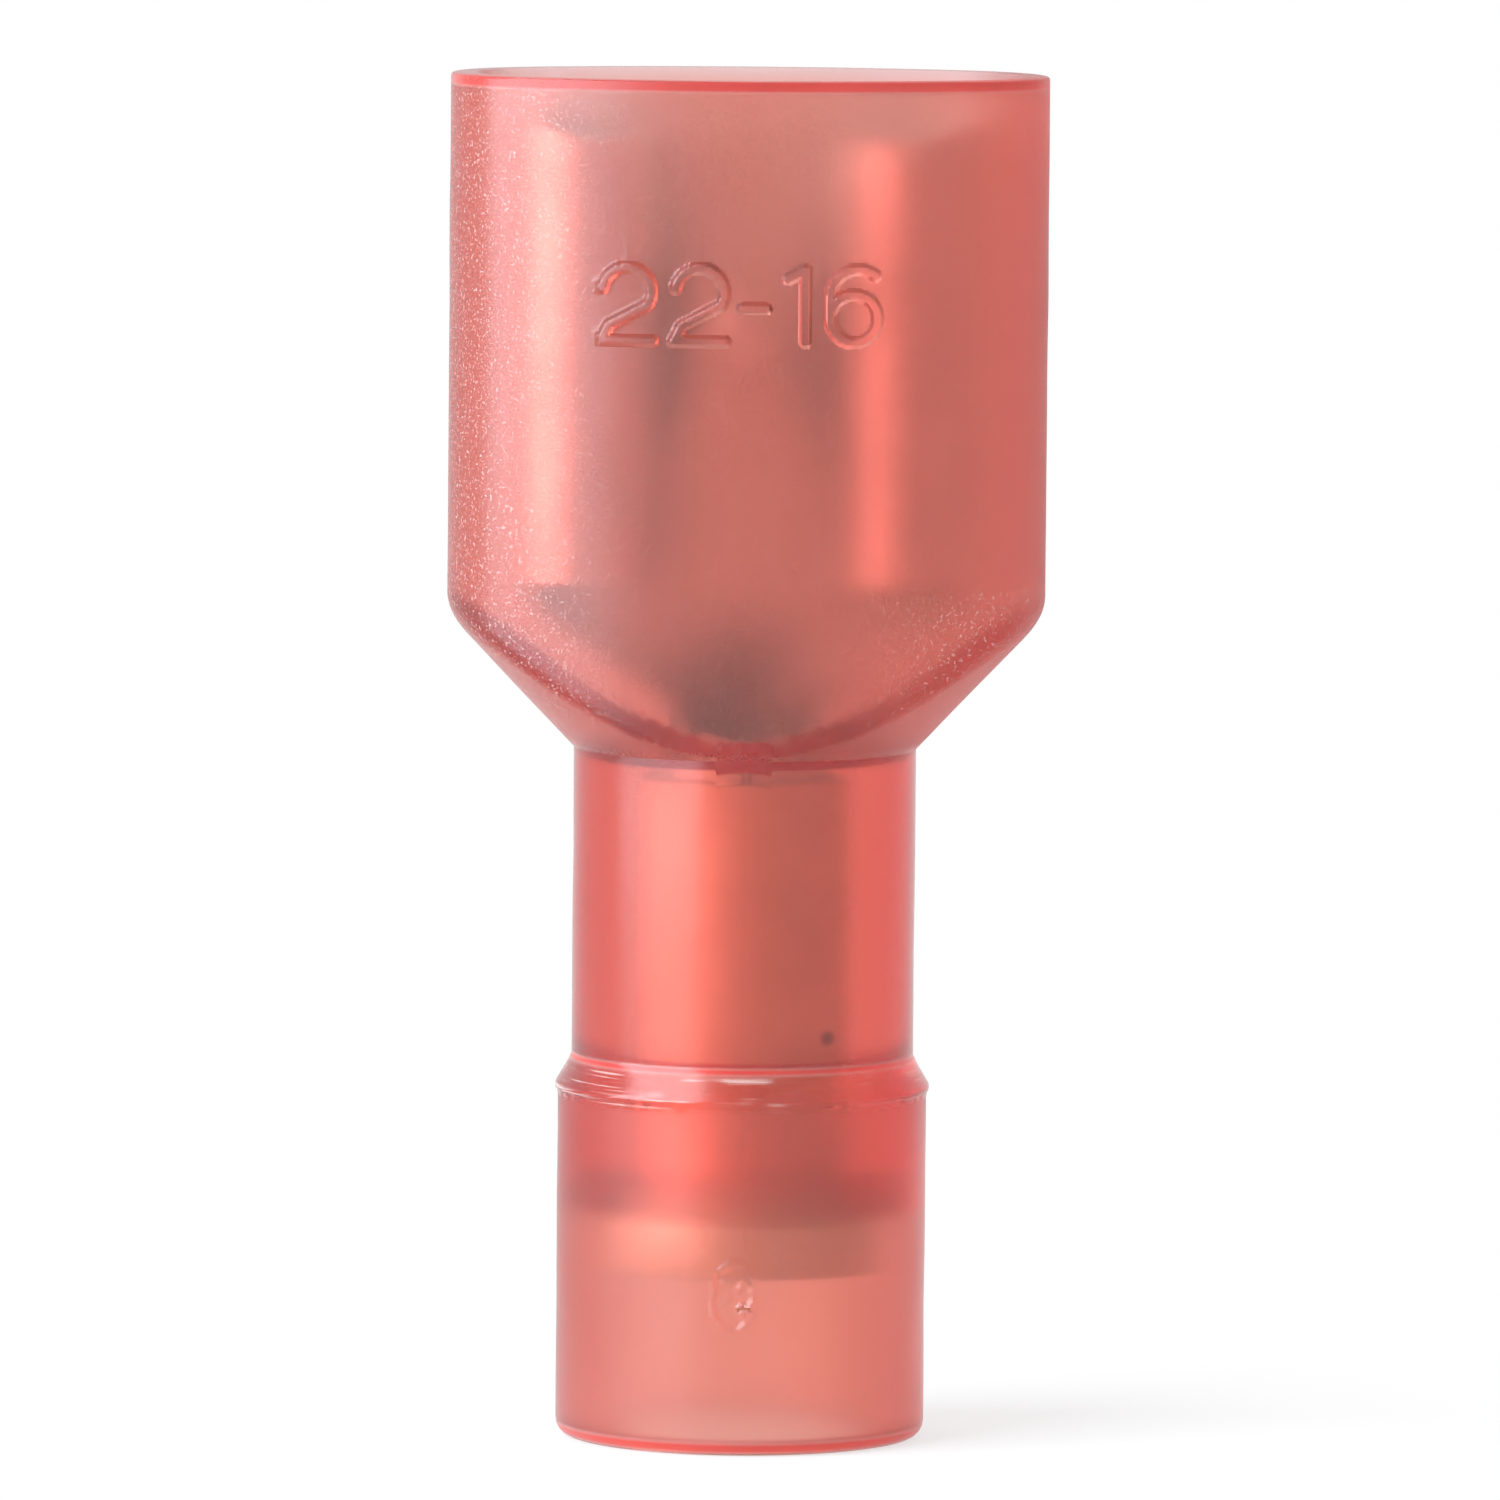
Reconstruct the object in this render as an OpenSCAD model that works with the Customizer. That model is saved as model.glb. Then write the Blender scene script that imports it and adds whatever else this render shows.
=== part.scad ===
// Fully insulated female spade terminal for a 6.35 x 0.81 mm tab.
// A stamped and rolled metal terminal sits in a moulded nylon housing, and a
// metal sleeve round its wire barrel gives the second crimp, on the wire's
// insulation. +Z runs from the wire entry to the mouth, the rolled edges face
// -Y, and the origin is the centre of the wire-entry end. Millimetres.

/* [Tab] */
// Width of the mating tab
tab_w = 6.35; // [5.6:0.05:6.6]
// Thickness of the mating tab
tab_t = 0.81; // [0.6:0.01:1]
// Clearance at each edge of the tab
tab_edge_gap = 0.1; // [0.05:0.01:0.2]
// Clearance at each face of the tab
tab_face_gap = 0.015; // [0.01:0.005:0.05]

/* [Terminal] */
// Thickness of the sheet metal
stock = 0.4; // [0.32:0.02:0.44]
// Outer radius of the rolled edges
curl_r = 1.15; // [1:0.05:1.25]
// Inner radius of the bend between floor and side wall
bend_r = 0.15; // [0.1:0.01:0.2]
// How deep the floor's front edge lies inside the mouth
mouth_depth = 0.4; // [0.2:0.05:1]
// How far the floor stands out past the rolled edges
tongue_l = 0.25; // [0.1:0.05:0.35]
// How far the lead-in slope of the rolled edges runs back
lead_in = 0.35; // [0.1:0.05:0.8]
// Radius of the floor's front corners
tongue_r = 0.6; // [0.2:0.05:1]
// Height of the locking dimple
dimple_h = 0.22; // [0.1:0.02:0.3]
// Radius of the locking dimple at the floor
dimple_r = 0.85; // [0.5:0.05:1.2]
// Angle that the waist wraps round the barrel, each side of its back
waist_wrap = 66; // [50:1:80]
// Length of the parallel part of the waist
waist_l = 0.45; // [0.2:0.05:0.8]
// Radius of the bore of the wire barrel
barrel_bore_r = 0.95; // [0.85:0.01:1.05]
// Length of the wire barrel
barrel_l = 5; // [3.5:0.1:5.6]
// How far the wire barrel reaches up out of the neck
barrel_rise = 0.2; // [0:0.05:0.4]
// Width of the butt seam along the wire barrel
seam_gap = 0.05; // [0.02:0.01:0.1]
// Number of grip grooves round the inside of the wire barrel
groove_count = 3; // [1:1:4]
// Width of one grip groove
groove_w = 0.3; // [0.15:0.05:0.45]
// Depth of one grip groove
groove_depth = 0.06; // [0.03:0.01:0.12]

/* [Sleeve] */
// Wall of the insulation-grip sleeve
sleeve_wall = 0.3; // [0.2:0.05:0.35]
// Height of the sleeve's lower end above the wire entry
sleeve_z = 2.7; // [2:0.1:3]
// Length of the wide mouth of the sleeve
bell_l = 0.8; // [0.4:0.05:1]
// Length of the cone between the mouth and the tube of the sleeve
flare_l = 0.95; // [0.5:0.05:1.2]
// How far the upper end of the sleeve stays below the end of the wire barrel
sleeve_stop = 0.6; // [0.3:0.05:1.5]
// Radial gap between fitted parts
fit_gap = 0.01; // [0.01:0.005:0.02]

/* [Housing] */
// Height of the housing
housing_l = 21.4; // [21:0.1:23]
// Width of the shroud
shroud_w = 9.4; // [9:0.1:10]
// Depth of the shroud
shroud_d = 5.44; // [5.4:0.02:5.9]
// Radius of the rounded ends of the shroud's section
end_r = 2.2; // [1.8:0.05:2.4]
// Wall of the shroud's two faces and of its shoulder
wall = 0.6; // [0.45:0.05:0.65]
// Gap at each side between the receptacle and the hollow's rounded ends
side_gap = 0.42; // [0.3:0.02:0.5]
// Gap between the receptacle's lower corners and the cone of the hollow
corner_gap = 0.65; // [0.3:0.05:0.8]
// Chamfer inside the mouth
mouth_chamfer = 0.2; // [0.1:0.05:0.3]
// Diameter of the neck
neck_d = 5.38; // [5.1:0.02:5.4]
// Length of the neck
neck_l = 4.88; // [4.6:0.02:5.2]
// Angle of the shoulder from the axis
shoulder_angle = 43.5; // [35:0.5:50]
// Radius where the shoulder turns into the shroud's ends
shoulder_r = 0.5; // [0.2:0.05:0.8]
// Diameter of the grip barrel
grip_d = 5.8; // [5.5:0.02:6.1]
// Length of the grip barrel, up to its collar
grip_l = 5.43; // [5.2:0.01:5.8]
// Radius by which the collar stands out from the grip barrel
collar_lip = 0.05; // [0.02:0.01:0.1]
// Height of the collar
collar_h = 0.54; // [0.5:0.02:0.7]
// Radius of the bore that takes the insulated wire
entry_r = 2.15; // [2.05:0.01:2.25]
// Chamfer inside the wire entry
entry_chamfer = 0.2; // [0.1:0.05:0.3]
// Radius of the outer edge at the foot
foot_r = 0.25; // [0.1:0.05:0.35]

/* [Hidden] */
$fn = 96;
overlap = 0.1; // how far a tool reaches past what it cuts or joins

// Wire barrel and the sleeve round it
barrel_r = barrel_bore_r + stock;
sleeve_in_r = barrel_r + fit_gap;
sleeve_r = sleeve_in_r + sleeve_wall;
bell_r = entry_r - fit_gap;
bell_in_r = bell_r - sleeve_wall;
bell_z = sleeve_z + bell_l;
tube_z = bell_z + flare_l;
flare_angle = atan((bell_r - sleeve_r) / flare_l);
flare_drop = sleeve_wall * tan(flare_angle / 2);

// Housing
half_w = shroud_w / 2;
half_d = shroud_d / 2;
neck_r = neck_d / 2;
grip_r = grip_d / 2;
collar_r = grip_r + collar_lip;
neck_z = grip_l + collar_h;
shoulder_z = neck_z + neck_l;
neck_bore_r = sleeve_r + fit_gap;
seat_rise = fit_gap * tan(45 - flare_angle / 2);
cone_slope = tan(shoulder_angle);
cavity_cone_r = neck_r - wall / cos(shoulder_angle);
cavity_z = shoulder_z + (neck_bore_r - cavity_cone_r) / cone_slope;
cavity_half_w = tab_w / 2 + tab_edge_gap + stock + side_gap;
cavity_half_d = half_d - wall;
cavity_end_r = end_r - (half_w - cavity_half_w);

// Terminal, floor at the back and rolled edges in front
barrel_top_z = shoulder_z + barrel_rise;
barrel_z = barrel_top_z - barrel_l;
sleeve_top_z = barrel_top_z - sleeve_stop;
tongue_z = housing_l - mouth_depth;
curl_top_z = tongue_z - tongue_l;
slot_half_w = tab_w / 2 + tab_edge_gap;
metal_half_w = slot_half_w + stock;
floor_back_y = curl_r;
floor_y = floor_back_y - stock;
lip_y = floor_y - tab_t - 2 * tab_face_gap;
curl_x = metal_half_w - curl_r;
bend_x = slot_half_w - bend_r;
bend_y = floor_y - bend_r;
corner_reach = norm([bend_x, bend_y]) + bend_r + stock;
curl_z = cavity_z + (corner_reach + corner_gap - neck_bore_r) / cone_slope;
curl_l = curl_top_z - curl_z;
dimple_z = curl_z + curl_l / 2;
dimple_ball_r = (dimple_r * dimple_r + dimple_h * dimple_h) / (2 * dimple_h);

// Sheet between wire barrel and floor
skin = 0.9 * stock; // a little thinner, so its ends lie inside what they join
mid_r = barrel_bore_r + stock / 2;
mid_y = floor_y + stock / 2;
mid_bend = bend_r + stock / 2;
bend_l = mid_bend * PI / 2;
rim_l = bend_y;
half_run = bend_x + bend_l + rim_l;
web_z = barrel_top_z - overlap;
web_top_z = curl_z + overlap;
web_rows = 16;
web_columns = 44;

// Section of four tangent arcs: half width w, half depth d, end radius r
module oval(w, d, r) {
    run = w - r;
    face_r = (run * run + d * d - r * r) / (2 * (d - r));
    intersection() {
        translate([0, d - face_r]) circle(r = face_r);
        translate([0, face_r - d]) circle(r = face_r);
        face_zone(run, face_r - d);
    }
    for (side = [-1, 1])
        translate([side * run, 0]) circle(r = r);
}

// Part of the section that the two face arcs bound, between the lines from
// their centres, `depth` behind the middle, through the ends' centres
module face_zone(run, depth) {
    far_x = run * (1 + shroud_d / depth);
    polygon([
        [run, 0],
        [far_x, shroud_d],
        [-far_x, shroud_d],
        [-run, 0],
        [-far_x, -shroud_d],
        [far_x, -shroud_d]
    ]);
}

// The same section growing upwards at 45 degrees over the height h
module oval_flare(w, d, r, h) {
    run = w - r;
    face_r = (run * run + d * d - r * r) / (2 * (d - r));
    intersection() {
        translate([0, d - face_r, 0]) cylinder(r1 = face_r, r2 = face_r + h, h = h);
        translate([0, face_r - d, 0]) cylinder(r1 = face_r, r2 = face_r + h, h = h);
        linear_extrude(h) face_zone(run, face_r - d);
    }
    for (side = [-1, 1])
        translate([side * run, 0, 0]) cylinder(r1 = r, r2 = r + h, h = h);
}

// Foot, grip barrel, collar and neck in one turned outline
module barrel_outline() {
    polygon([
        [0, 0],
        [grip_r - foot_r, 0],
        [grip_r - foot_r, foot_r],
        [grip_r, foot_r],
        [grip_r, grip_l],
        [collar_r, grip_l + collar_lip],
        [collar_r, grip_l + 2 * collar_lip],
        [neck_r, neck_z],
        [neck_r, shoulder_z + overlap],
        [0, shoulder_z + overlap]
    ]);
    translate([grip_r - foot_r, foot_r]) circle(r = foot_r);
}

// Turned outline of the shoulder, its corner rounded into the shroud's ends
module shoulder_outline() {
    edge_r = half_w + 0.01;
    round_x = edge_r - shoulder_r;
    round_z = shoulder_z + (round_x - neck_r) / cone_slope + shoulder_r / sin(shoulder_angle);
    touch_x = round_x + shoulder_r * cos(shoulder_angle);
    touch_z = round_z - shoulder_r * sin(shoulder_angle);
    polygon([
        [0, shoulder_z],
        [neck_r, shoulder_z],
        [touch_x, touch_z],
        [round_x, round_z],
        [edge_r, round_z],
        [edge_r, housing_l],
        [0, housing_l]
    ]);
    translate([round_x, round_z]) circle(r = shoulder_r);
}

// Bore for the wire, the cone the sleeve seats on, and the neck bore
module bore_outline() {
    polygon([
        [0, -overlap],
        [entry_r + entry_chamfer + overlap, -overlap],
        [entry_r, entry_chamfer],
        [entry_r, bell_z + seat_rise],
        [neck_bore_r, tube_z + seat_rise],
        [neck_bore_r, cavity_z + overlap],
        [0, cavity_z + overlap]
    ]);
}

// Hollow of the shroud, drawn in like the shoulder outside
module cavity() {
    intersection() {
        translate([0, 0, cavity_z])
            linear_extrude(housing_l - cavity_z + overlap)
                oval(cavity_half_w, cavity_half_d, cavity_end_r);
        rotate_extrude()
            polygon([
                [0, cavity_z],
                [neck_bore_r, cavity_z],
                [half_w, cavity_z + (half_w - neck_bore_r) / cone_slope],
                [half_w, housing_l + 2 * overlap],
                [0, housing_l + 2 * overlap]
            ]);
    }
    translate([0, 0, housing_l - mouth_chamfer])
        oval_flare(cavity_half_w, cavity_half_d, cavity_end_r, mouth_chamfer + overlap);
}

module nylon_housing() {
    color([0.86, 0.3, 0.28])
    difference() {
        union() {
            rotate_extrude() barrel_outline();
            intersection() {
                translate([0, 0, shoulder_z])
                    linear_extrude(housing_l - shoulder_z) oval(half_w, half_d, end_r);
                rotate_extrude() shoulder_outline();
            }
        }
        rotate_extrude() bore_outline();
        cavity();
    }
}

// One side of the rolled section: bend, side wall and curl down onto the tab
module rolled_edge() {
    translate([bend_x, bend_y])
        intersection() {
            difference() {
                circle(r = bend_r + stock);
                circle(r = bend_r);
            }
            square(bend_r + stock);
        }
    translate([slot_half_w, 0]) square([stock, bend_y]);
    translate([curl_x, 0])
        difference() {
            circle(r = curl_r);
            circle(r = curl_r - stock);
            square(2 * curl_r);
            translate([-2 * curl_r, lip_y]) square(2 * curl_r);
        }
}

module receptacle_section() {
    translate([-bend_x, floor_y]) square([2 * bend_x, stock]);
    rolled_edge();
    mirror([1, 0]) rolled_edge();
}

// Slope at the front of both rolled edges that guides the tab in
module lead_in_cut() {
    rotate([90, 0, 0])
        linear_extrude(4 * curl_r, center = true)
            polygon([
                [-curl_x, curl_top_z - lead_in],
                [curl_x, curl_top_z - lead_in],
                [metal_half_w, curl_top_z],
                [metal_half_w, curl_top_z + overlap],
                [-metal_half_w, curl_top_z + overlap],
                [-metal_half_w, curl_top_z]
            ]);
}

// Front end of the floor, rounded at its two corners
module tongue() {
    corner_x = bend_x - tongue_r;
    corner_z = tongue_z - tongue_r;
    root_z = curl_top_z - 2 * tongue_r;
    translate([0, floor_back_y, 0])
        rotate([90, 0, 0])
            linear_extrude(stock) {
                translate([-corner_x, root_z]) square([2 * corner_x, tongue_z - root_z]);
                translate([-bend_x, root_z]) square([2 * bend_x, corner_z - root_z]);
                for (side = [-1, 1])
                    translate([side * corner_x, corner_z]) circle(r = tongue_r);
            }
}

// Cap of the locking dimple, standing `rise` out of a face of the floor
module dimple(rise) {
    translate([0, floor_y + rise, dimple_z])
        rotate([90, 0, 0])
            rotate_extrude()
                intersection() {
                    translate([0, dimple_h - dimple_ball_r]) circle(r = dimple_ball_r);
                    translate([0, -overlap]) square([2 * dimple_ball_r, dimple_ball_r]);
                }
}

// Middle line of the sheet at the barrel and at the floor, u from -1 to 1
function arc_point(u) = [mid_r * sin(u * waist_wrap), mid_r * cos(u * waist_wrap)];

function trough_point(u) =
    let (s = abs(u) * half_run, side = sign(u))
    s <= bend_x ? [side * s, mid_y]
    : s <= bend_x + bend_l
    ? let (a = (s - bend_x) / mid_bend * 180 / PI)
        [side * (bend_x + mid_bend * sin(a)), bend_y + mid_bend * cos(a)]
    : [side * (bend_x + mid_bend), bend_y - (s - bend_x - bend_l)];

// Share of the way from barrel to floor at height z
function spread(z) =
    let (t = min(1, max(0, (z - barrel_top_z - waist_l) / (curl_z - barrel_top_z - waist_l))))
    t * (1 + t - t * t);

function web_point(u, z) = let (k = spread(z)) (1 - k) * arc_point(u) + k * trough_point(u);

// Skin of the sheet on the side given by `side`, half the thickness away
function skin_point(u, z, side) =
    let (
        step = 0.01,
        along = web_point(u + step, z) - web_point(u - step, z),
        out = [-along[1], along[0]] / norm(along),
        p = web_point(u, z) + side * skin / 2 * out
    )
    [p[0], p[1], z];

// Sheet that runs from the trough of the floor down to the wire barrel
module web() {
    n = web_columns + 1;
    count = (web_rows + 1) * n;
    skins = [
        for (side = [1, -1], i = [0 : web_rows], j = [0 : web_columns])
            skin_point(2 * j / web_columns - 1, web_z + (web_top_z - web_z) * i / web_rows, side)
    ];
    polyhedron(skins, concat(
        [
            for (i = [0 : web_rows - 1], j = [0 : web_columns - 1])
                let (a = i * n + j)
                each [[a, a + 1, a + n], [a + 1, a + n + 1, a + n]]
        ],
        [
            for (i = [0 : web_rows - 1], j = [0 : web_columns - 1])
                let (a = count + i * n + j)
                each [[a, a + n, a + 1], [a + 1, a + n, a + n + 1]]
        ],
        [
            for (i = [0 : web_rows - 1])
                let (a = i * n, b = count + i * n)
                each [[a, a + n, b], [b, a + n, b + n]]
        ],
        [
            for (i = [0 : web_rows - 1])
                let (a = i * n + n - 1, b = count + i * n + n - 1)
                each [[a, b, a + n], [b, b + n, a + n]]
        ],
        [
            for (j = [0 : web_columns - 1])
                let (a = j, b = count + j)
                each [[a, b, a + 1], [b, b + 1, a + 1]]
        ],
        [
            for (j = [0 : web_columns - 1])
                let (a = web_rows * n + j, b = count + web_rows * n + j)
                each [[a, a + 1, b], [b, a + 1, b + 1]]
        ]
    ));
}

// Rolled wire barrel with its butt seam in front and its grip grooves inside
module wire_barrel() {
    pitch = barrel_l / (groove_count + 1);
    translate([0, 0, barrel_z])
        difference() {
            cylinder(r = barrel_r, h = barrel_l);
            translate([0, 0, -overlap]) cylinder(r = barrel_bore_r, h = barrel_l + 2 * overlap);
            for (i = [1 : groove_count])
                translate([0, 0, i * pitch - groove_w / 2])
                    cylinder(r = barrel_bore_r + groove_depth, h = groove_w);
            translate([-seam_gap / 2, -2 * barrel_r, -overlap])
                cube([seam_gap, 2 * barrel_r, barrel_l + 2 * overlap]);
        }
}

module female_terminal() {
    color([0.8, 0.81, 0.83])
    union() {
        difference() {
            union() {
                difference() {
                    translate([0, 0, curl_z]) linear_extrude(curl_l) receptacle_section();
                    lead_in_cut();
                }
                tongue();
                dimple(0);
            }
            dimple(stock);
        }
        web();
        wire_barrel();
    }
}

// Drawn sleeve, widened at the wire entry to take the insulation
module grip_sleeve() {
    color([0.72, 0.6, 0.42])
    rotate_extrude()
        polygon([
            [sleeve_in_r, sleeve_top_z],
            [sleeve_in_r, tube_z - flare_drop],
            [bell_in_r, bell_z - flare_drop],
            [bell_in_r, sleeve_z],
            [bell_r, sleeve_z],
            [bell_r, bell_z],
            [sleeve_r, tube_z],
            [sleeve_r, sleeve_top_z]
        ]);
}

nylon_housing();
female_terminal();
grip_sleeve();
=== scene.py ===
import bpy
import bmesh
import math
from mathutils import Matrix, Vector, noise


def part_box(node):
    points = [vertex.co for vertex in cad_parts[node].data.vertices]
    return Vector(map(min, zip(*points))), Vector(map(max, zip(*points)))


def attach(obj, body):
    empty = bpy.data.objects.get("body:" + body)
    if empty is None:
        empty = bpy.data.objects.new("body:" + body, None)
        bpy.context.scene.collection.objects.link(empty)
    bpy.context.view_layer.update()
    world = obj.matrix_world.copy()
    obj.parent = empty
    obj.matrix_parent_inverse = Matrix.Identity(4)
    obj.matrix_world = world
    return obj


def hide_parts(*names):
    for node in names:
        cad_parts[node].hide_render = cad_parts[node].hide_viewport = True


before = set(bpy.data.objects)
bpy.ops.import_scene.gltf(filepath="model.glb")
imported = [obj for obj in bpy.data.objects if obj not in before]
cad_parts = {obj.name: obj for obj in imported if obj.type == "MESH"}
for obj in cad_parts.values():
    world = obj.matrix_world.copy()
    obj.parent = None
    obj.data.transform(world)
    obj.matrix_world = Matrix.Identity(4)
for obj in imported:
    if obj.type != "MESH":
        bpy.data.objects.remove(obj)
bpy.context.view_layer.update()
mm = 0.001  # metres
print("frame loaded")


def spread(low, high, step):  # evenly spaced values from low to high, both included
    count = max(1, math.ceil(abs(high - low) / step - 1e-6))
    return [low + (high - low) * i / count for i in range(count + 1)]


def ease(t):
    t = min(max(t, 0), 1)
    return t * t * (3 - 2 * t)


def softMin(a, b, width):  # the smaller of two radii, with their meeting edge rounded off
    share = max(width - abs(a - b), 0) / width if width > 0 else 0
    return min(a, b) - share * share * width / 4


def ripple(x, y, z, scale, seed=0):
    return noise.noise(Vector((x, y, z)) * scale + Vector((seed, 2 * seed, -seed)))


def finishMesh(name, bm, material, sharpAngle):
    if bm.calc_volume(signed=True) < 0:
        bmesh.ops.reverse_faces(bm, faces=bm.faces)
    for face in bm.faces:
        face.smooth = True
    for edge in bm.edges:
        edge.smooth = edge.calc_face_angle(0) < math.radians(sharpAngle)
    mesh = bpy.data.meshes.new(name)
    bm.to_mesh(mesh)
    bm.free()
    mesh.materials.append(material)
    piece = bpy.data.objects.new(name, mesh)
    bpy.context.scene.collection.objects.link(piece)
    return piece


def clearTree(owner):  # the empty node tree of a material or a world
    owner.use_nodes = True
    owner.node_tree.nodes.clear()
    return owner.node_tree


def addNode(tree, kind, inputs, **settings):  # an input is another node's output or a fixed value
    node = tree.nodes.new(kind)
    for name, setting in settings.items():
        setattr(node, name, setting)
    for name, value in inputs.items():
        if isinstance(value, bpy.types.NodeSocket):
            tree.links.new(value, node.inputs[name])
        else:
            node.inputs[name].default_value = value
    return node


def objectPlace(tree):
    return addNode(tree, "ShaderNodeTexCoord", {}).outputs["Object"]


def splitAxes(tree, vector):
    return addNode(tree, "ShaderNodeSeparateXYZ", {"Vector": vector}).outputs


def calc(tree, operation, *values, clamp=False):
    node = addNode(tree, "ShaderNodeMath", dict(enumerate(values)), operation=operation, use_clamp=clamp)
    return node.outputs["Value"]


def remap(tree, value, start, end, low=0, high=1, curve="SMOOTHSTEP"):  # low before start, high after end
    inputs = {"Value": value, "From Min": start, "From Max": end, "To Min": low, "To Max": high}
    return addNode(tree, "ShaderNodeMapRange", inputs, interpolation_type=curve).outputs["Result"]


def mix(tree, factor, a, b, kind="RGBA"):
    inputs = {"Factor": factor, "A": a, "B": b}
    return addNode(tree, "ShaderNodeMix", inputs, data_type=kind).outputs["Result"]


def noiseAt(tree, place, scale, detail):
    inputs = {"Vector": place, "Scale": scale, "Detail": detail}
    return addNode(tree, "ShaderNodeTexNoise", inputs).outputs["Fac"]


def stretchedNoise(tree, place, scales, detail):  # a different scale along each axis
    mapped = addNode(tree, "ShaderNodeMapping", {"Vector": place, "Scale": scales})
    return noiseAt(tree, mapped.outputs["Vector"], 1, detail)


def heightBand(tree, height, middle, half, soft):  # mm; 1 inside the band, 0 outside
    away = calc(tree, "ABSOLUTE", calc(tree, "SUBTRACT", height, middle * mm))
    return remap(tree, away, (half - soft) * mm, (half + soft) * mm, 1, 0)


def surfaceBump(tree, height, strength, depth):
    inputs = {"Height": height, "Strength": strength, "Distance": depth * mm}
    return addNode(tree, "ShaderNodeBump", inputs).outputs["Normal"]


# nylon housing

nylon = {
    "neckSkin": (0.97, 0.93, 0.85, 1),
    "shroudSkin": (0.97, 0.74, 0.68, 1),
    "paintedMouthSheen": (0.93, 0.94, 0.97, 1),  # painted light: a paler, bluer sheen on the far wall inside the mouth
    "paintedEdgeGlow": (0.85, 0.1, 0.08, 1),  # painted glow: the edges are painted red, where the wall leads light to them
    # how much less passes on those edges, so that their painted glow shows
    "paintedGlowShare": 0.3,
    "clear": 0.985,  # share of the light that passes the skin
    "ior": 1.53,
    "tint": (0.945, 0.17, 0.06, 1),
    "density": 1100,  # per metre
    "neckRoughness": 0.22,
    "shroudRoughness": 0.31,
    "rightRoughness": 0.15,  # more than that, right of the digits
    "rightFade": (0, 2),  # mm from the middle
    "frostStart": (10.8, 11),  # mm up, just above the neck
    "frostGrains": 0.26,  # how much less passes at each grain of the frosted faces
    "grainScale": 24000,
    "grainCut": (0.56, 0.72),  # noise at which a grain begins, and at which it is full
    "grainSpread": (0.35, 0.7),
    "grainRoughness": (-0.03, 0.06),  # added to the roughness from one end of that spread to the other
    "endFade": (1.6, 3.4),  # mm from the middle: the left end is frosted more
    "facesFrost": 0.15,  # share of the grains that the flat faces keep
    "neckBump": 0.002,
    "shroudBump": 0.16,
    "bumpDepth": 0.01,  # mm
    "collarMarks": 0.32,  # how much less passes at the turning marks of the collar
    "markScales": (500, 500, 20000),  # thin lines round the part
    "markCut": (0.5, 0.68),
    "markPatches": 700,  # scale of the patches that break them up
    "patchCut": (0.44, 0.56),
    "gripMilk": 0.006,  # how much less passes in the thick grip
    "gripHaze": 0.07,  # and how much rougher it is
    "mouthFade": (20.95, 21.25),  # mm up
    "farWall": (-1, 1),  # mm from the middle towards the back
    "bands": {  # middle height, half height and soft edge, mm
        "foot": (0.13, 0.08, 0.05),
        "grip": (2.7, 2.7, 0.1),
        "collar": (5.66, 0.24, 0.04),
        "crease": (6, 0.05, 0.04),
        "shoulder": (12.3, 1.3, 0.3),
        "rim": (21.33, 0.1, 0.04),
    },
}


def fadeOver(tree, axis, name, low=0, high=1, curve="SMOOTHSTEP"):  # from one to the other distance
    start, end = nylon[name]
    return remap(tree, axis, start * mm, end * mm, low, high, curve)


def skinTone(tree, frost, z, y, band):  # colour of the skin with painted light on it (a pale sheen inside the mouth, a red glow on the edges), and 1 on those painted edges
    farWall = fadeOver(tree, y, "farWall", curve="LINEAR")
    # where the painted sheen lies, high on the far wall
    mouthSheen = calc(tree, "MULTIPLY", fadeOver(tree, z, "mouthFade"), farWall)
    nearRim = calc(tree, "MULTIPLY", calc(tree, "SUBTRACT", 1, farWall), band["rim"])
    # the edges that get the painted red glow
    edges = calc(tree, "MAXIMUM", calc(tree, "MAXIMUM", band["crease"], band["foot"]), nearRim)
    tone = mix(tree, frost, nylon["neckSkin"], nylon["shroudSkin"])
    tone = mix(tree, mouthSheen, tone, nylon["paintedMouthSheen"])
    return mix(tree, edges, tone, nylon["paintedEdgeGlow"]), edges


def collarScuffs(tree, place, band):  # broken turning marks
    lines = stretchedNoise(tree, place, nylon["markScales"], 2)
    lines = remap(tree, lines, *nylon["markCut"], 0, nylon["collarMarks"])
    patches = remap(tree, noiseAt(tree, place, nylon["markPatches"], 2), *nylon["patchCut"])
    return calc(tree, "MULTIPLY", lines, calc(tree, "MULTIPLY", band["collar"], patches))


def frostGrains(tree, grain, frost, x, band):  # the shoulder is frosted on both sides
    leftwards, outwards = calc(tree, "MULTIPLY", x, -1), calc(tree, "ABSOLUTE", x)
    fromMiddle = mix(tree, band["shoulder"], leftwards, outwards, "FLOAT")
    share = calc(tree, "MULTIPLY", frost, fadeOver(tree, fromMiddle, "endFade", nylon["facesFrost"]))
    grains = remap(tree, grain, *nylon["grainCut"], 0, nylon["frostGrains"])
    return calc(tree, "MULTIPLY", grains, share)


def skinRoughness(tree, grain, frost, x, band):
    level = remap(tree, frost, 0, 1, nylon["neckRoughness"], nylon["shroudRoughness"], "LINEAR")
    hazy = calc(tree, "MULTIPLY_ADD", band["grip"], nylon["gripHaze"], level)
    right = calc(tree, "MULTIPLY", fadeOver(tree, x, "rightFade", 0, nylon["rightRoughness"]), frost)
    grainy = remap(tree, grain, *nylon["grainSpread"], *nylon["grainRoughness"], "LINEAR")
    grainy = calc(tree, "MULTIPLY", grainy, frost)
    return calc(tree, "ADD", calc(tree, "ADD", hazy, right), grainy)


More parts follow.
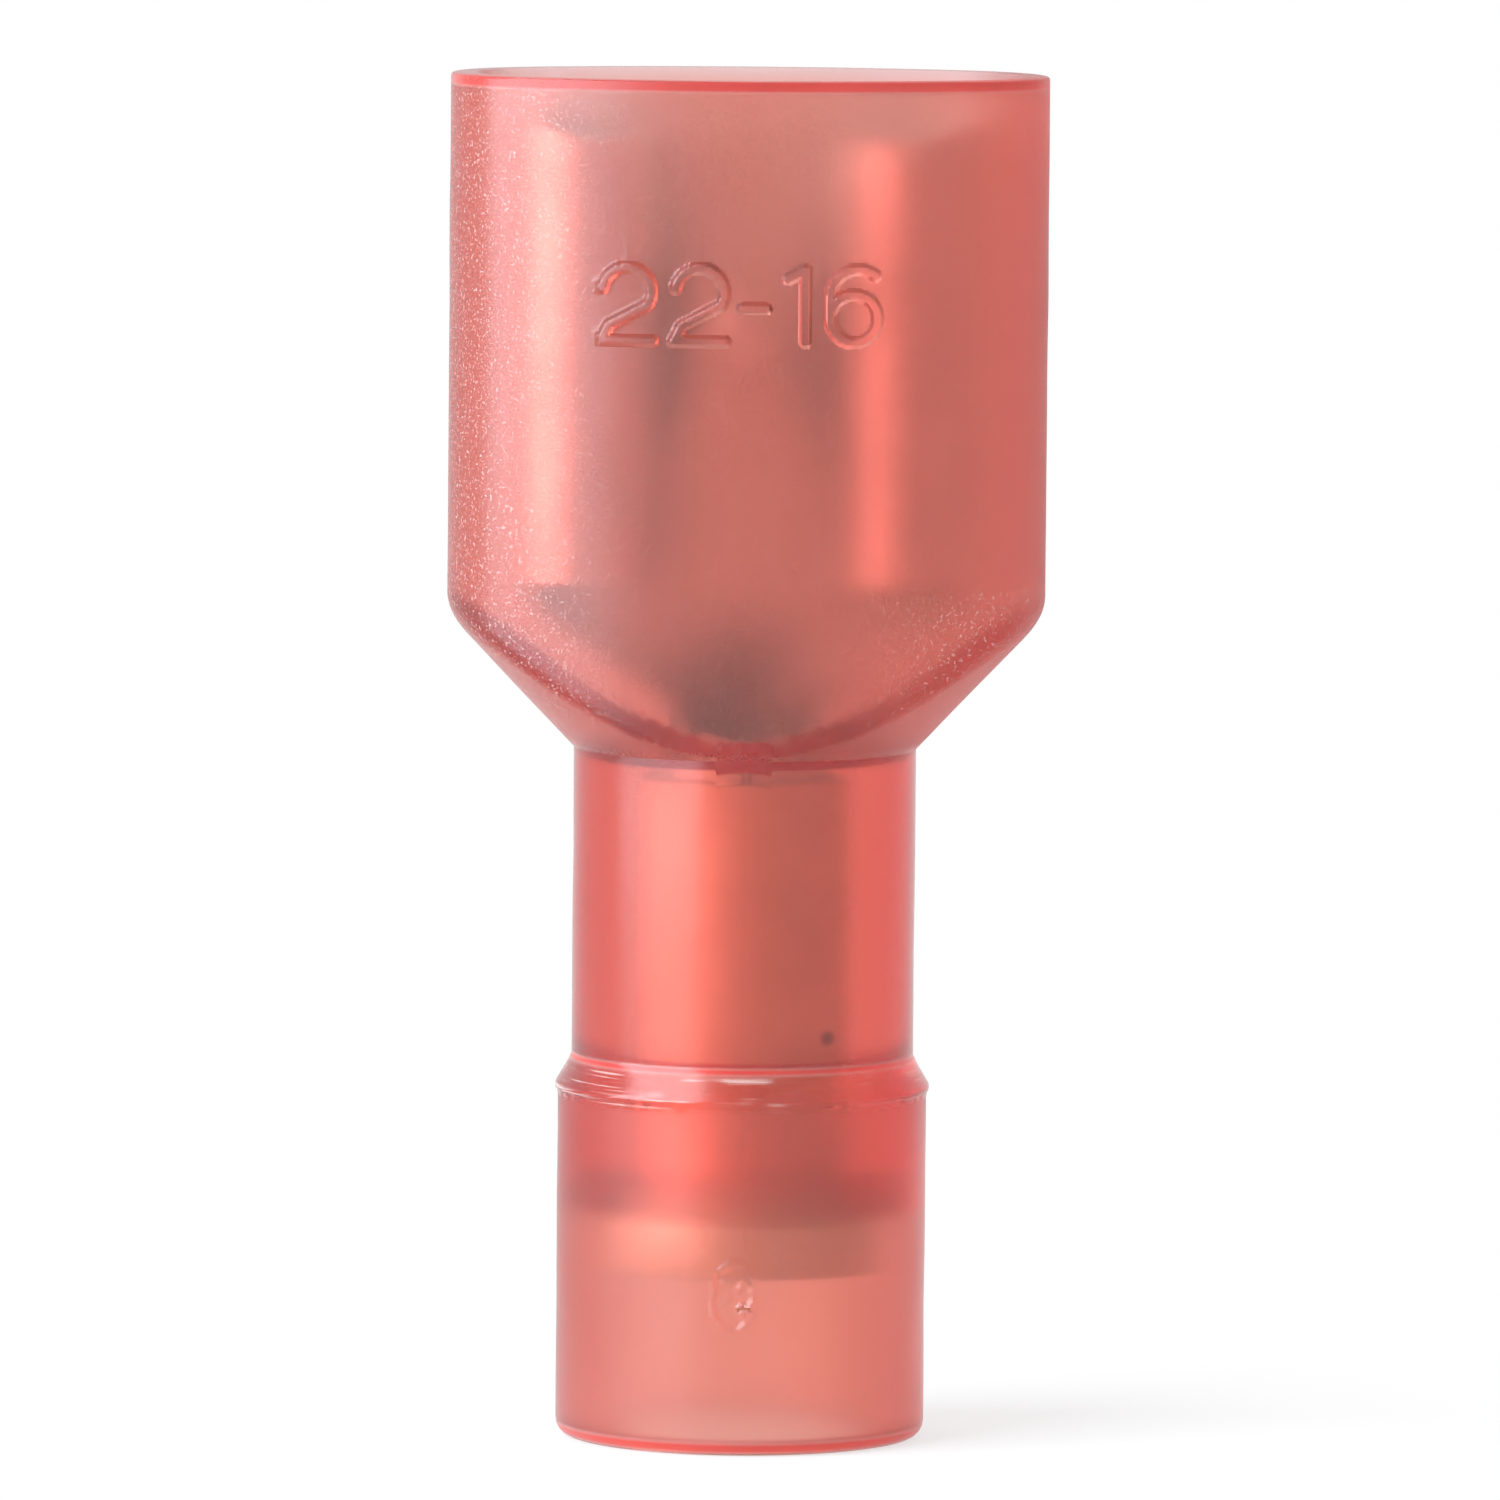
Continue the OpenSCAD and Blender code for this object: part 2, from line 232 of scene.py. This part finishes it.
def nylonMaterial():
    material = bpy.data.materials.new("red nylon")
    tree = clearTree(material)
    place = objectPlace(tree)
    axes = splitAxes(tree, place)
    x, y, z = axes["X"], axes["Y"], axes["Z"]
    band = {name: heightBand(tree, z, *reach) for name, reach in nylon["bands"].items()}
    frost = fadeOver(tree, z, "frostStart", curve="LINEAR")  # 0 on the neck, 1 on the frosted shroud
    grain = noiseAt(tree, place, nylon["grainScale"], 1)
    tone, edges = skinTone(tree, frost, z, y, band)
    passing = remap(tree, band["grip"], 0, 1, nylon["clear"], nylon["clear"] - nylon["gripMilk"], "LINEAR")
    scuffs = calc(tree, "ADD", frostGrains(tree, grain, frost, x, band), collarScuffs(tree, place, band))
    # the grains, the collar marks and the painted edge glow let less pass
    hidden = calc(tree, "ADD", scuffs, calc(tree, "MULTIPLY", edges, nylon["paintedGlowShare"]))
    bump = remap(tree, frost, 0, 1, nylon["neckBump"], nylon["shroudBump"], "LINEAR")
    skin = addNode(tree, "ShaderNodeBsdfPrincipled", {
        "Base Color": tone,
        "Roughness": skinRoughness(tree, grain, frost, x, band),
        "IOR": nylon["ior"],
        "Transmission Weight": calc(tree, "SUBTRACT", passing, hidden, clamp=True),
        "Normal": surfaceBump(tree, grain, bump, nylon["bumpDepth"]),
    })
    body = addNode(tree, "ShaderNodeVolumeAbsorption", {"Color": nylon["tint"], "Density": nylon["density"]})
    addNode(tree, "ShaderNodeOutputMaterial", {
        "Surface": skin.outputs["BSDF"],
        "Volume": body.outputs["Volume"],
    })
    return material


housing = {
    "length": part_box("nylon_housing")[1].z / mm,  # all lengths in mm
    "halfWidth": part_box("nylon_housing")[1].x / mm - 0.01,
    "halfDepth": 2.71,
    "endRadius": 2.2,  # of the oval's round ends
    "wall": 0.6,
    "neckRadius": 2.69,
    "gripRadius": 2.9,
    "collarRadius": 2.943,
    "collarLow": 5.43,
    "collarLip": 0.1,  # radius of its lower edge
    "neckLow": 5.97,
    "neckTop": 10.85,
    "shoulderAngle": 43.5,  # degrees
    "faceRounding": 0.04,  # of the shoulder's edge on the flat faces
    "endRounding": 0.3,  # and at the round ends
    "boreRadius": 1.67,
    "seatLow": 3.506,
    "seatTop": 4.456,
    "entryRadius": 2.15,
    "entryChamfer": 0.2,
    "mouthChamfer": 0.2,
    "rimRounding": 0.05,
    "footRounding": 0.25,
    "columns": 400,
    "frontShare": 0.4,  # share of the columns that cross the front face
    "frontReach": 44,  # degrees to each side that they cover
    "waviness": 0.012,  # how far the moulded faces wander
    "wavinessScale": 0.7,
    "finRise": 0.025,  # torn flash along the collar's lower edge
    "finMiddle": 0.02,
    "finHeight": 0.035,
    "finScale": 14,
    "partingRise": 0.01,
    "partingX": 0.06,
    "partingWidth": 0.035,
    "partingLow": 3,
    "sharpAngle": 32,
}

digits = {
    "text": "22-16",  # wire range in AWG numbers
    "left": -2.28,  # mm, as all lengths here
    "low": 17.37,
    "starts": [0, 1.13, 2.2, 2.83, 3.52],
    "height": 1.13,
    "strokeRadius": 0.105,
    "rise": 0.09,
    "edge": 0.14,  # fine rows reach this far above and below
    "step": 0.036,  # their spacing
    "lines": {  # strokes from one point to another
        "2": [(0.72, 0.56, 0.12, 0.24), (0.12, 0.24, 0, 0), (0, 0, 0.8, 0)],
        "1": [(0.34, 0, 0.34, 1.12), (0.34, 1.12, 0.06, 0.98)],
        "6": [(0.03, 0.37, 0.03, 0.7)],
        "-": [(0, 0.52, 0.36, 0.52)],
    },
    "arcs": {  # middle, radius, first and last angle
        "2": [(0.4, 0.76, 0.38, -32, 172)],
        "6": [(0.4, 0.37, 0.37, -180, 180), (0.46, 0.7, 0.43, 50, 180)],
    },
}

gateScar = {  # torn stub of the moulding gate, mm
    "x": -0.09,
    "z": 2.51,
    "halfWidth": 0.4,
    "halfHeight": 0.62,
    "rise": 0.06,
    "sink": 0.034,  # the torn face lies this much deeper
    "ragged": 0.22,  # how far its outline strays, as a share of its size
    "margin": 0.1,  # fine rows reach this far above and below
    "step": 0.04,  # their spacing
}


def ovalRadius(angle, halfWidth, halfDepth, endRadius):  # four-arc oval, seen from its middle
    run = halfWidth - endRadius
    faceRadius = (run ** 2 + halfDepth ** 2 - endRadius ** 2) / (2 * (halfDepth - endRadius))
    c, s = abs(math.cos(angle)), abs(math.sin(angle))
    back = faceRadius - halfDepth
    onFace = math.sqrt(max(faceRadius ** 2 - (back * c) ** 2, 0)) - back * s
    if onFace * c <= run * faceRadius / (faceRadius - endRadius):
        return onFace
    return c * run + math.sqrt(max(endRadius ** 2 - (run * s) ** 2, 0))


def columnAngle(share):  # share runs 0 to 1 round the housing, from one edge of the front face
    reach = math.radians(housing["frontReach"])
    front = housing["frontShare"]
    if share < front:
        return -math.pi / 2 + math.atan(math.tan(reach) * (2 * share / front - 1))
    rest = (share - front) / (1 - front)
    return -math.pi / 2 + reach + rest * (2 * math.pi - 2 * reach)


# closed outline of the housing: height, radius, the oval that limits it, how far inside that oval;
# each spread ends in the spacing of its rows
def housingRows():
    h = housing
    slope = math.tan(math.radians(h["shoulderAngle"]))
    rows = []

    def add(z, radius, oval="", inset=0):
        rows.append((z, radius, oval, inset))

    foot = h["gripRadius"] - h["footRounding"]
    for turn in spread(-90, 0, 18):
        add(h["footRounding"] * (1 + math.sin(math.radians(turn))),
            foot + h["footRounding"] * math.cos(math.radians(turn)), "skin")
    scarLow = gateScar["z"] - gateScar["halfHeight"] - gateScar["margin"]
    scarTop = gateScar["z"] + gateScar["halfHeight"] + gateScar["margin"]
    for z in spread(h["footRounding"], scarLow, 0.5)[1:-1] + spread(scarLow, scarTop, gateScar["step"]):
        add(z, h["gripRadius"], "skin")
    # near rows under the collar and over it keep its bends off the shading of the grip and the neck
    for z in spread(scarTop, h["collarLow"] - 0.12, 0.6)[1:] + [h["collarLow"] - 0.06, h["collarLow"]]:
        add(z, h["gripRadius"], "skin")
    lip = h["collarLip"]
    for turn in spread(-55, 40, 16):  # round lip, then the cone up to the neck
        add(h["collarLow"] + lip * (1 + math.sin(math.radians(turn))),
            h["collarRadius"] - lip * (1 - math.cos(math.radians(turn))), "skin")
    low, wide = rows[-1][0], rows[-1][1]
    for share in spread(0, 1, 0.12)[1:]:
        hollow = 0.02 * math.sin(math.pi * share)  # the cone runs into the neck in a slight hollow
        add(low + (h["neckLow"] + 0.05 - low) * share,
            wide + (h["neckRadius"] - wide) * share - hollow * share, "skin")
    for z in spread(h["neckLow"] + 0.1, h["neckTop"], 0.8):
        add(z, h["neckRadius"], "skin")
    coneTop = h["neckTop"] + (h["halfWidth"] + 0.4 - h["neckRadius"]) / slope
    for z in spread(h["neckTop"], coneTop, 0.07)[1:]:
        add(z, h["neckRadius"] + (z - h["neckTop"]) * slope, "outside")
    wide = h["halfWidth"] + 1
    digitsLow = digits["low"] - digits["edge"]
    digitsTop = digits["low"] + digits["height"] + digits["edge"]
    for z in spread(coneTop, digitsLow, 0.6)[1:-1] + spread(digitsLow, digitsTop, digits["step"]):
        add(z, wide, "outside")
    top = h["length"]
    for z in spread(digitsTop, top - h["rimRounding"], 0.6)[1:]:
        add(z, wide, "outside")
    for turn in spread(0, 90, 30)[1:]:
        add(top - h["rimRounding"] * (1 - math.sin(math.radians(turn))), wide, "outside",
            h["rimRounding"] * (1 - math.cos(math.radians(turn))))
    add(top, wide, "inside", -h["mouthChamfer"])
    add(top - h["mouthChamfer"], wide, "inside")
    coneRadius = h["neckRadius"] - h["wall"] / math.cos(math.radians(h["shoulderAngle"]))
    boreTop = h["neckTop"] + (h["boreRadius"] - coneRadius) / slope
    innerTop = boreTop + (h["halfWidth"] - h["boreRadius"]) / slope
    for z in spread(top - h["mouthChamfer"], innerTop, 0.8)[1:]:
        add(z, wide, "inside")
    for z in spread(innerTop, boreTop, 0.12)[1:]:
        add(z, h["boreRadius"] + (z - boreTop) * slope, "inside")
    for z in spread(boreTop, h["seatTop"], 1.2)[1:]:
        add(z, h["boreRadius"])
    for z in spread(h["seatTop"], h["seatLow"], 0.3)[1:]:
        add(z, h["entryRadius"] + (h["boreRadius"] - h["entryRadius"])
            * (z - h["seatLow"]) / (h["seatTop"] - h["seatLow"]))
    for z in spread(h["seatLow"], h["entryChamfer"], 0.7)[1:]:
        add(z, h["entryRadius"])
    add(0, h["entryRadius"] + h["entryChamfer"])
    return rows


def lineDistance(x, z, x0, z0, x1, z1):
    dx, dz = x1 - x0, z1 - z0
    along = ((x - x0) * dx + (z - z0) * dz) / (dx * dx + dz * dz)
    along = min(max(along, 0), 1)
    return math.hypot(x - x0 - along * dx, z - z0 - along * dz)


def arcDistance(x, z, cx, cz, radius, start, end):  # degrees, start below end
    angle = math.degrees(math.atan2(z - cz, x - cx))
    middle = (start + end) / 2
    angle = middle + (angle - middle + 180) % 360 - 180
    angle = math.radians(min(max(angle, start), end))
    return math.hypot(x - cx - radius * math.cos(angle), z - cz - radius * math.sin(angle))


def glyphDistance(glyph, x, z):  # distance to the middle line of the nearest stroke
    lines = [lineDistance(x, z, *line) for line in digits["lines"].get(glyph, [])]
    arcs = [arcDistance(x, z, *arc) for arc in digits["arcs"].get(glyph, [])]
    return min(lines + arcs)


def digitRise(x, z):
    x, z = x - digits["left"], z - digits["low"]
    placed = zip(digits["text"], digits["starts"])
    reach = min(glyphDistance(glyph, x - start, z) for glyph, start in placed) / digits["strokeRadius"]
    return digits["rise"] * ease((1 - reach) / 0.5) if reach < 1 else 0


def hump(distance, width):  # 1 in the middle, with soft sides
    return math.exp(-(distance / width) ** 2)


def scarRise(x, z):
    g = gateScar
    across, up = (x - g["x"]) / g["halfWidth"], (z - g["z"]) / g["halfHeight"]
    reach = math.hypot(across, up) + g["ragged"] * ripple(x, 0, z, 3.5, 7)
    if reach > 1.15:
        return 0
    edge = hump(reach - 0.88, 0.13)
    torn = ripple(x, 0, z, 7, 3) + 0.6 * ripple(x, 0, z, 15, 4)
    nick = math.exp(-((across - 0.35) ** 2 + (up + 0.35) ** 2) / 0.12)  # low on the right
    inside = ease((1.05 - reach) / 0.3)
    relief = g["rise"] * (0.8 * edge + inside * (0.5 * torn + 2 * nick * abs(torn)))
    return relief - g["sink"] * ease((1.15 - reach) / 0.25)


def collarFin(angle, z):
    h = housing
    nearEdge = hump(z - h["collarLow"] - h["finMiddle"], h["finHeight"])
    around = Vector((math.cos(angle) * h["finScale"], math.sin(angle) * h["finScale"], 4))
    return h["finRise"] * nearEdge * max(0.3 + noise.noise(around), 0)


def shapeHousing(vert, row, angle):
    z, radius, kind, inset = row
    h = housing
    if kind == "outside":
        limit = ovalRadius(angle, h["halfWidth"], h["halfDepth"], h["endRadius"]) - inset
        width = h["faceRounding"] + (h["endRounding"] - h["faceRounding"]) * math.cos(angle) ** 6
        radius = softMin(radius, limit, width * ease((z - h["neckTop"]) / 0.5))
    elif kind == "inside":
        limit = ovalRadius(angle, h["halfWidth"] - h["wall"], h["halfDepth"] - h["wall"],
                           h["endRadius"] - h["wall"]) - inset
        radius = min(radius, limit)
    if kind in ("outside", "skin"):
        x, y = math.cos(angle) * radius, math.sin(angle) * radius
        radius += h["waviness"] * (ripple(x, y, z, h["wavinessScale"], 1) - 0.6)
        if z < h["neckLow"]:
            radius += collarFin(angle, z)
    co = Vector((radius * math.cos(angle), radius * math.sin(angle), z))
    if kind == "outside" and co.y < 0 and z > digits["low"] - 0.2:
        co.y -= digitRise(co.x, z)
    elif kind == "skin" and co.y < 0:
        ridge = hump(co.x - h["partingX"], h["partingWidth"]) * ease((z - h["partingLow"]) / 0.5)
        co.y -= h["partingRise"] * ridge
        if z < h["seatLow"]:
            co.y -= scarRise(co.x, z)
    vert.co = co * mm


def buildHousing(material):
    rows = housingRows()
    bm = bmesh.new()
    rowOf = bm.verts.layers.int.new("row")
    outline = []
    for i, row in enumerate(rows):
        vert = bm.verts.new((row[1] * mm, 0, row[0] * mm))
        vert[rowOf] = i
        outline.append(vert)
    edges = [bm.edges.new((a, b)) for a, b in zip(outline, outline[1:] + outline[:1])]
    bmesh.ops.spin(bm, geom=outline + edges, cent=(0, 0, 0), axis=(0, 0, 1), dvec=(0, 0, 0),
                   angle=2 * math.pi, steps=housing["columns"], use_merge=True, use_duplicate=False)
    for vert in bm.verts:
        share = math.atan2(vert.co.y, vert.co.x) / (2 * math.pi) % 1
        shapeHousing(vert, rows[vert[rowOf]], columnAngle(share))
    bmesh.ops.recalc_face_normals(bm, faces=bm.faces)
    print("housing rows", len(rows), "faces", len(bm.faces))
    return finishMesh("nylonHousing", bm, material, housing["sharpAngle"])


nylonHousing = buildHousing(nylonMaterial())
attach(nylonHousing, "root")
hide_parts("nylon_housing")
print("nylon housing made")


# stamped terminal and its sleeve

tin = {  # what both metals share
    "cloudScale": 900,
    "cloudSpread": (0.3, 0.7),
    "cloudShade": 0.88,
    "cloudRoughness": (-0.06, 0.08),
    "bump": 0.2,
    "bumpDepth": 0.02,  # mm
}

terminal = {
    "name": "tin plated brass",
    "colour": (0.82, 0.79, 0.74, 1),
    "roughness": 0.4,
    "grain": (14000, 14000, 900),  # drawn along its length
    "stainAndShade": {  # painted shade: the throat is darker, where little light gets in, and duller; mm
        "at": (0, 0.2, 11.3),
        "core": 0.6,
        "reach": 2.3,
        "colour": (0.42, 0.4, 0.38, 1),
        "roughness": 0.65,
    },
    "sharpAngle": 34,
}

sleeve = {
    "columns": 128,
    "inner": 1.36,  # radii and heights in mm
    "outer": 1.66,
    "bellInner": 1.84,
    "bellOuter": 2.14,
    "low": 2.7,
    "bellTop": 3.5,
    "tubeLow": 4.45,
    "top": 10.45,
    "innerDrop": 0.05,  # the inner bends lie this much lower
    "edge": 0.05,
    "name": "tin plated copper",
    "colour": (0.95, 0.94, 0.8, 1),
    "roughness": 0.64,
    "grain": (9000, 9000, 2500),
    "stainAndShade": {  # one dark speck, mm
        "at": (1.12, -1.2, 6.43),
        "core": 0.04,
        "reach": 0.17,
        "colour": (0.3, 0.25, 0.22, 1),
        "roughness": 0.6,
    },
    "sharpAngle": 34,
}


def tinMaterial(part):
    material = bpy.data.materials.new(part["name"])
    tree = clearTree(material)
    place = objectPlace(tree)
    cloud = noiseAt(tree, place, tin["cloudScale"], 5)
    shaded = [channel * tin["cloudShade"] for channel in part["colour"][:3]] + [1]
    levels = [part["roughness"] + change for change in tin["cloudRoughness"]]
    stainAndShade = part["stainAndShade"]  # darker, duller tin round one point: a real speck on the sleeve, painted shade in the terminal's throat
    middle = [c * mm for c in stainAndShade["at"]]
    away = addNode(tree, "ShaderNodeVectorMath", {0: place, 1: middle}, operation="DISTANCE")
    stainAndShadeMask = remap(tree, away.outputs["Value"], stainAndShade["core"] * mm, stainAndShade["reach"] * mm, 1, 0)
    # the dark colour there is the speck on the sleeve and painted shade in the terminal's throat
    colour = mix(tree, stainAndShadeMask, mix(tree, cloud, part["colour"], shaded), stainAndShade["colour"])
    dull = remap(tree, cloud, *tin["cloudSpread"], *levels, "LINEAR")
    drawn = stretchedNoise(tree, place, part["grain"], 4)
    metal = addNode(tree, "ShaderNodeBsdfPrincipled", {
        "Metallic": 1,
        "Base Color": colour,
        "Roughness": mix(tree, stainAndShadeMask, dull, stainAndShade["roughness"], "FLOAT"),
        "Normal": surfaceBump(tree, drawn, tin["bump"], tin["bumpDepth"]),
    })
    addNode(tree, "ShaderNodeOutputMaterial", {"Surface": metal.outputs["BSDF"]})
    return material


def buildTerminal(material):
    bm = bmesh.new()
    bm.from_mesh(bpy.data.objects["female_terminal"].data)
    bmesh.ops.remove_doubles(bm, verts=bm.verts, dist=0.002 * mm)
    bmesh.ops.recalc_face_normals(bm, faces=bm.faces)
    return finishMesh("stampedTerminal", bm, material, terminal["sharpAngle"])


stampedTerminal = buildTerminal(tinMaterial(terminal))
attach(stampedTerminal, "root")
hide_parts("female_terminal")


def buildSleeve(material):
    s = sleeve
    outline = [(s["inner"], s["top"]), (s["inner"], s["tubeLow"] - s["innerDrop"]),
               (s["bellInner"], s["bellTop"] - s["innerDrop"]), (s["bellInner"], s["low"]),
               (s["bellOuter"], s["low"]), (s["bellOuter"], s["bellTop"]),
               (s["outer"], s["tubeLow"]), (s["outer"], s["top"])]
    bm = bmesh.new()
    ring = [bm.verts.new((radius * mm, 0, z * mm)) for radius, z in outline]
    bm.faces.new(ring)
    bmesh.ops.bevel(bm, geom=ring, offset=s["edge"] * mm, offset_type="OFFSET", segments=3, profile=0.5,
                    affect="VERTICES", material=-1)
    bmesh.ops.delete(bm, geom=bm.faces[:], context="FACES_ONLY")
    bmesh.ops.spin(bm, geom=bm.verts[:] + bm.edges[:], cent=(0, 0, 0), axis=(0, 0, 1), dvec=(0, 0, 0),
                   angle=2 * math.pi, steps=s["columns"], use_merge=True, use_duplicate=False)
    bmesh.ops.recalc_face_normals(bm, faces=bm.faces)
    return finishMesh("gripSleeve", bm, material, s["sharpAngle"])


gripSleeve = buildSleeve(tinMaterial(sleeve))
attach(gripSleeve, "root")
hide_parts("grip_sleeve")
print("terminal and sleeve made")


# floor, light and camera

studio = {
    "floorHalf": 1.2,  # metres, as all lengths here
    "floorColour": (0.93, 0.93, 0.93, 1),
    "floorShadow": 0.35,  # how much of its own shading the floor shows near the part
    "shadowFade": (0.004, 0.016),  # how far from the part that starts to fade, and where it is gone
    "lampHeight": 0.4,
    "lampDistance": 0.12,
    "lampAim": 0.012,
    "lamps": {  # degrees from the front, negative to the left
        "softbox": {"azimuth": -60, "width": 0.14, "power": 1.07, "colour": (0.87, 0.95, 1.05)},
        "fill": {"azimuth": 62, "width": 0.22, "power": 0.09, "colour": (1, 1, 1)},
    },
    "frontLight": 0.6,  # light of the room in front, where the white back gives 1
    "overheadLight": 0.9,  # share of it that is left high above
    "backFade": (0.1, 0.7),  # how far back the backdrop starts, and where it is full white
    "highFade": (0.15, 0.9),
    "bounces": 32,  # light runs a long way inside the clear walls
    "wallBounces": 24,
}


def whiteRays(tree, backdrop=None):  # 1 for the eye, and for metal and nylon that show the backdrop
    rays = addNode(tree, "ShaderNodeLightPath", {}).outputs
    if backdrop is None:
        seen = calc(tree, "ADD", rays["Is Camera Ray"], rays["Is Glossy Ray"])
        return calc(tree, "ADD", seen, rays["Is Transmission Ray"], clamp=True)
    mirrored = calc(tree, "MAXIMUM", rays["Is Glossy Ray"], rays["Is Transmission Ray"])
    return calc(tree, "MAXIMUM", rays["Is Camera Ray"], calc(tree, "MULTIPLY", mirrored, backdrop))


def buildFloor():
    material = bpy.data.materials.new("white floor")
    tree = clearTree(material)
    away = addNode(tree, "ShaderNodeVectorMath", {0: objectPlace(tree)}, operation="LENGTH")
    near = remap(tree, away.outputs["Value"], *studio["shadowFade"], 1 - studio["floorShadow"], 1)
    look = {"Base Color": studio["floorColour"], "Roughness": 0.9}
    paper = addNode(tree, "ShaderNodeBsdfPrincipled", look)
    glow = addNode(tree, "ShaderNodeEmission", {})
    both = addNode(tree, "ShaderNodeMixShader", {
        0: calc(tree, "MULTIPLY", whiteRays(tree), near),
        1: paper.outputs["BSDF"],
        2: glow.outputs["Emission"],
    })
    addNode(tree, "ShaderNodeOutputMaterial", {"Surface": both.outputs["Shader"]})
    bm = bmesh.new()
    bmesh.ops.create_grid(bm, x_segments=8, y_segments=8, size=studio["floorHalf"])
    finishMesh("floor", bm, material, 180)


def lightWorld():
    world = bpy.data.worlds.new("studio")
    bpy.context.scene.world = world
    tree = clearTree(world)
    axes = splitAxes(tree, addNode(tree, "ShaderNodeTexCoord", {}).outputs["Generated"])
    level = remap(tree, axes["Y"], *studio["backFade"], studio["frontLight"], 1)
    high = remap(tree, axes["Z"], *studio["highFade"], 1, studio["overheadLight"])
    behind = remap(tree, axes["Y"], *studio["backFade"])
    light = mix(tree, whiteRays(tree, behind), calc(tree, "MULTIPLY", level, high), 1, "FLOAT")
    sky = addNode(tree, "ShaderNodeBackground", {"Color": (1, 1, 1, 1), "Strength": light})
    addNode(tree, "ShaderNodeOutputWorld", {"Surface": sky.outputs["Background"]})


def turnTo(obj, target):  # the way its -Z has to point
    return (Vector(target) - obj.location).to_track_quat("-Z", "Y")


def hangLamp(name, azimuth, width, power, colour):
    lamp = bpy.data.lights.new(name, "AREA")
    lamp.shape = "RECTANGLE"
    lamp.size = width
    lamp.size_y = studio["lampHeight"]
    lamp.energy = power
    lamp.color = colour
    hung = bpy.data.objects.new(name, lamp)
    bpy.context.scene.collection.objects.link(hung)
    turn, away, height = math.radians(azimuth), studio["lampDistance"], studio["lampAim"]
    hung.location = (math.sin(turn) * away, -math.cos(turn) * away, height)
    hung.rotation_euler = turnTo(hung, (0, 0, height)).to_euler()
    hung.visible_camera = False


view = {
    "place": (0.0009, -0.247, 0.0326),  # metres
    "target": (0.00008, 0, 0.0108),
    "lens": 379.5,
    "roll": 0.5,  # degrees
}


def placeCamera():
    lens = bpy.data.cameras.new("camera")
    lens.lens = view["lens"]
    lens.sensor_width = 36
    lens.clip_start = 0.01
    camera = bpy.data.objects.new("camera", lens)
    bpy.context.scene.collection.objects.link(camera)
    camera.location = view["place"]
    roll = Matrix.Rotation(math.radians(view["roll"]), 3, "Z")
    camera.rotation_euler = (turnTo(camera, view["target"]).to_matrix() @ roll).to_euler()
    bpy.context.scene.camera = camera


buildFloor()
lightWorld()
for lampName, settings in studio["lamps"].items():
    hangLamp(lampName, **settings)
placeCamera()
bpy.context.scene.view_settings.view_transform = "Standard"
bpy.context.scene.cycles.max_bounces = studio["bounces"]
bpy.context.scene.cycles.glossy_bounces = studio["wallBounces"]
bpy.context.scene.cycles.transmission_bounces = studio["wallBounces"]
print("floor, light and camera set")
